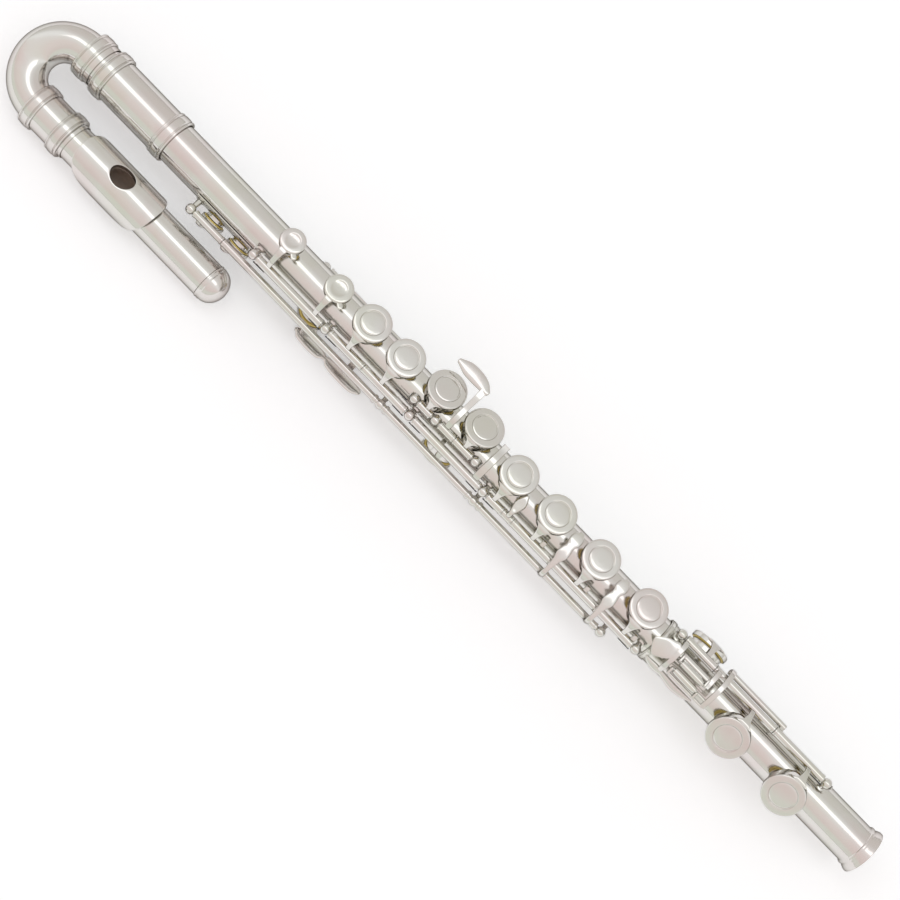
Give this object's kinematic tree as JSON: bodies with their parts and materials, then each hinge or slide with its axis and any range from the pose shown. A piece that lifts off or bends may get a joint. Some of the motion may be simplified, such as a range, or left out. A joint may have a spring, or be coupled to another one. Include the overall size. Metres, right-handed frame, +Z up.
{
  "type": "curved head flute",
  "caption": "Concert flute with a head joint turned back in a U bend, closed pad keys on sprung hinges, trill keys and a foot joint with rollers.",
  "frame": {"origin": "middle of the footprint, at the table that the flute lies on", "axes": "+X runs down the body tube from the U bend to the foot end, +Z is up from the table, and the mouthpiece leg lies on the -Y side"},
  "size_m": [0.5084, 0.063, 0.0408],
  "materials": {
    "silver_plate": "polished",
    "steel": "polished",
    "brass": "satin",
    "cork": "matte",
    "pad_skin": "satin"
  },
  "bodies": {
    "body_joint": {"body_tube": "silver_plate", "barrel": "silver_plate", "body_rib": "silver_plate", "thumb_rib": "silver_plate", "c_sharp_rod": "steel", "main_rod": "steel", "g_rod": "steel", "thumb_rod": "steel"},
    "tenon": {"head_tenon": "silver_plate"},
    "head_joint": {"u_bend": "silver_plate", "bend_ferrule": "silver_plate", "mouthpiece_ferrule": "silver_plate", "mouthpiece_tube": "silver_plate", "lip_plate": "silver_plate"},
    "crown_cap": {"crown": "silver_plate"},
    "cork_assembly": {"head_cork": "cork", "cork_screw": "brass"},
    "foot_joint": {"foot_tube": "silver_plate", "foot_rib": "silver_plate", "foot_rod": "steel"},
    "c_sharp": {"c_sharp_key": "silver_plate", "c_sharp_pad": "pad_skin"},
    "b_flat": {"b_flat_key": "silver_plate", "b_flat_pad": "pad_skin"},
    "a": {"a_key": "silver_plate", "a_pad": "pad_skin"},
    "upper_g": {"upper_g_key": "silver_plate", "upper_g_pad": "pad_skin"},
    "lower_g": {"lower_g_key": "silver_plate", "lower_g_pad": "pad_skin"},
    "g_sharp": {"g_sharp_key": "silver_plate", "g_sharp_pad": "pad_skin"},
    "f_sharp": {"f_sharp_key": "silver_plate", "f_sharp_pad": "pad_skin"},
    "f": {"f_key": "silver_plate", "f_pad": "pad_skin"},
    "e": {"e_key": "silver_plate", "e_pad": "pad_skin"},
    "d": {"d_key": "silver_plate", "d_pad": "pad_skin"},
    "side_b_flat": {"side_b_flat_lever": "silver_plate"},
    "e_mechanism": {"e_mechanism_lever": "silver_plate"},
    "d_trill": {"d_trill_key": "silver_plate", "d_trill_pad": "pad_skin"},
    "d_sharp_trill": {"d_sharp_trill_key": "silver_plate", "d_sharp_trill_pad": "pad_skin"},
    "thumb_b": {"thumb_b_key": "silver_plate", "thumb_b_pad": "pad_skin"},
    "thumb_b_flat": {"thumb_b_flat_lever": "silver_plate"},
    "d_sharp_foot": {"d_sharp_foot_key": "silver_plate", "d_sharp_foot_pad": "pad_skin"},
    "c_sharp_foot": {"c_sharp_foot_key": "silver_plate", "c_sharp_foot_pad": "pad_skin"},
    "c_foot": {"c_foot_key": "silver_plate", "c_foot_pad": "pad_skin"},
    "c_sharp_roller_body": {"c_sharp_roller": "silver_plate"},
    "c_roller_body": {"c_roller": "silver_plate"}
  },
  "joints": [
    {"name": "tuning_slide", "type": "slide", "parent": "body_joint", "child": "tenon", "axis": [-1, 0, 0], "range_m": [0, 0.012]},
    {"name": "head_swivel", "type": "hinge", "parent": "tenon", "child": "head_joint", "pos_m": [-0.21873, 0.01019, 0.01963], "axis": [1, 0, 0], "range_deg": [-30, 30]},
    {"name": "crown_turn", "type": "hinge", "parent": "head_joint", "child": "crown_cap", "pos_m": [-0.12172, -0.02028, 0.01089], "axis": [1, 0, 0], "range_deg": [-180, 180]},
    {"name": "cork_slide", "type": "slide", "parent": "head_joint", "child": "cork_assembly", "axis": [1, 0, 0], "range_m": [-0.0004, 0.0004]},
    {"name": "foot_swivel", "type": "hinge", "parent": "body_joint", "child": "foot_joint", "pos_m": [0.12627, 0.01019, 0.01963], "axis": [1, 0, 0], "range_deg": [-20, 20]},
    {"name": "c_sharp_hinge", "type": "hinge", "parent": "body_joint", "child": "c_sharp", "pos_m": [-0.09373, -0.00243, 0.0288], "axis": [1, 0, 0], "range_deg": [-9, 0], "stiffness_Nm_per_rad": 0.03, "springref_deg": 11.46},
    {"name": "b_flat_hinge", "type": "hinge", "parent": "body_joint", "child": "b_flat", "pos_m": [-0.05813, -0.00243, 0.0288], "axis": [1, 0, 0], "range_deg": [-9, 0], "stiffness_Nm_per_rad": 0.03, "springref_deg": 11.46},
    {"name": "a_hinge", "type": "hinge", "parent": "body_joint", "child": "a", "pos_m": [-0.03753, -0.00243, 0.0288], "axis": [1, 0, 0], "range_deg": [-9, 0], "stiffness_Nm_per_rad": 0.03, "springref_deg": 11.46},
    {"name": "upper_g_hinge", "type": "hinge", "parent": "body_joint", "child": "upper_g", "pos_m": [-0.01582, 0.00356, 0.0315], "axis": [1, 0, 0], "range_deg": [-11, 0], "stiffness_Nm_per_rad": 0.03, "springref_deg": 11.46},
    {"name": "lower_g_hinge", "type": "hinge", "parent": "body_joint", "child": "lower_g", "pos_m": [0.00707, 0.00356, 0.0315], "axis": [1, 0, 0], "range_deg": [-11, 0], "stiffness_Nm_per_rad": 0.03, "springref_deg": 11.46},
    {"name": "g_sharp_hinge", "type": "hinge", "parent": "body_joint", "child": "g_sharp", "pos_m": [-0.00373, 0.00356, 0.0315], "axis": [1, 0, 0], "range_deg": [-8, 0], "stiffness_Nm_per_rad": 0.03, "springref_deg": 11.46},
    {"name": "f_sharp_hinge", "type": "hinge", "parent": "body_joint", "child": "f_sharp", "pos_m": [0.03177, -0.00243, 0.0288], "axis": [1, 0, 0], "range_deg": [-9, 0], "stiffness_Nm_per_rad": 0.03, "springref_deg": 11.46},
    {"name": "f_hinge", "type": "hinge", "parent": "body_joint", "child": "f", "pos_m": [0.05507, -0.00243, 0.0288], "axis": [1, 0, 0], "range_deg": [-9, 0], "stiffness_Nm_per_rad": 0.03, "springref_deg": 11.46},
    {"name": "e_hinge", "type": "hinge", "parent": "body_joint", "child": "e", "pos_m": [0.08188, -0.00243, 0.0288], "axis": [1, 0, 0], "range_deg": [-9, 0], "stiffness_Nm_per_rad": 0.03, "springref_deg": 11.46},
    {"name": "d_hinge", "type": "hinge", "parent": "body_joint", "child": "d", "pos_m": [0.11098, -0.00243, 0.0288], "axis": [1, 0, 0], "range_deg": [-9, 0], "stiffness_Nm_per_rad": 0.03, "springref_deg": 11.46},
    {"name": "side_b_flat_hinge", "type": "hinge", "parent": "body_joint", "child": "side_b_flat", "pos_m": [0.04147, -0.00243, 0.0288], "axis": [1, 0, 0], "range_deg": [-8, 0], "stiffness_Nm_per_rad": 0.03, "springref_deg": 11.46},
    {"name": "e_mechanism_hinge", "type": "hinge", "parent": "body_joint", "child": "e_mechanism", "pos_m": [0.00328, -0.00243, 0.0288], "axis": [1, 0, 0], "range_deg": [-9, 0], "stiffness_Nm_per_rad": 0.03, "springref_deg": 11.46},
    {"name": "d_trill_hinge", "type": "hinge", "parent": "body_joint", "child": "d_trill", "pos_m": [-0.02873, -0.00638, 0.02167], "axis": [1, 0, 0], "range_deg": [-12, 0], "stiffness_Nm_per_rad": 0.03, "springref_deg": 11.46},
    {"name": "d_sharp_trill_hinge", "type": "hinge", "parent": "body_joint", "child": "d_sharp_trill", "pos_m": [-0.02272, -0.00638, 0.02167], "axis": [1, 0, 0], "range_deg": [-12, 0], "stiffness_Nm_per_rad": 0.03, "springref_deg": 11.46},
    {"name": "thumb_b_hinge", "type": "hinge", "parent": "body_joint", "child": "thumb_b", "pos_m": [-0.08173, 0.02233, 0.01081], "axis": [1, 0, 0], "range_deg": [-8, 0], "stiffness_Nm_per_rad": 0.05, "springref_deg": 14.32},
    {"name": "thumb_b_flat_hinge", "type": "hinge", "parent": "body_joint", "child": "thumb_b_flat", "pos_m": [-0.05373, 0.02233, 0.01081], "axis": [1, 0, 0], "range_deg": [-8, 0], "stiffness_Nm_per_rad": 0.05, "springref_deg": 14.32},
    {"name": "d_sharp_foot_hinge", "type": "hinge", "parent": "foot_joint", "child": "d_sharp_foot", "pos_m": [0.14128, 0.01557, 0.03363], "axis": [1, 0, 0], "range_deg": [0, 8], "stiffness_Nm_per_rad": 0.03, "springref_deg": -11.46},
    {"name": "c_sharp_foot_hinge", "type": "hinge", "parent": "foot_joint", "child": "c_sharp_foot", "pos_m": [0.16928, 0.01557, 0.03363], "axis": [1, 0, 0], "range_deg": [0, 9], "stiffness_Nm_per_rad": 0.03, "springref_deg": -11.46},
    {"name": "c_foot_hinge", "type": "hinge", "parent": "foot_joint", "child": "c_foot", "pos_m": [0.20128, 0.01557, 0.03363], "axis": [1, 0, 0], "range_deg": [0, 9], "stiffness_Nm_per_rad": 0.03, "springref_deg": -11.46},
    {"name": "c_sharp_roller_spin", "type": "hinge", "parent": "c_sharp_foot", "child": "c_sharp_roller_body", "pos_m": [0.14408, 0.00568, 0.03687], "axis": [1, 0, 0], "continuous": true},
    {"name": "c_roller_spin", "type": "hinge", "parent": "c_foot", "child": "c_roller_body", "pos_m": [0.14408, 0.00161, 0.03572], "axis": [1, 0, 0], "continuous": true}
  ],
  "couplings": [
    {"joint": "b_flat_hinge", "follows": "a_hinge", "ratio": 1},
    {"joint": "f_sharp_hinge", "follows": "f_hinge", "ratio": 1},
    {"joint": "lower_g_hinge", "follows": "upper_g_hinge", "ratio": 1},
    {"joint": "e_mechanism_hinge", "follows": "e_hinge", "ratio": 1},
    {"joint": "crown_turn", "follows": "cork_slide", "rad_per_m": 7850}
  ]
}
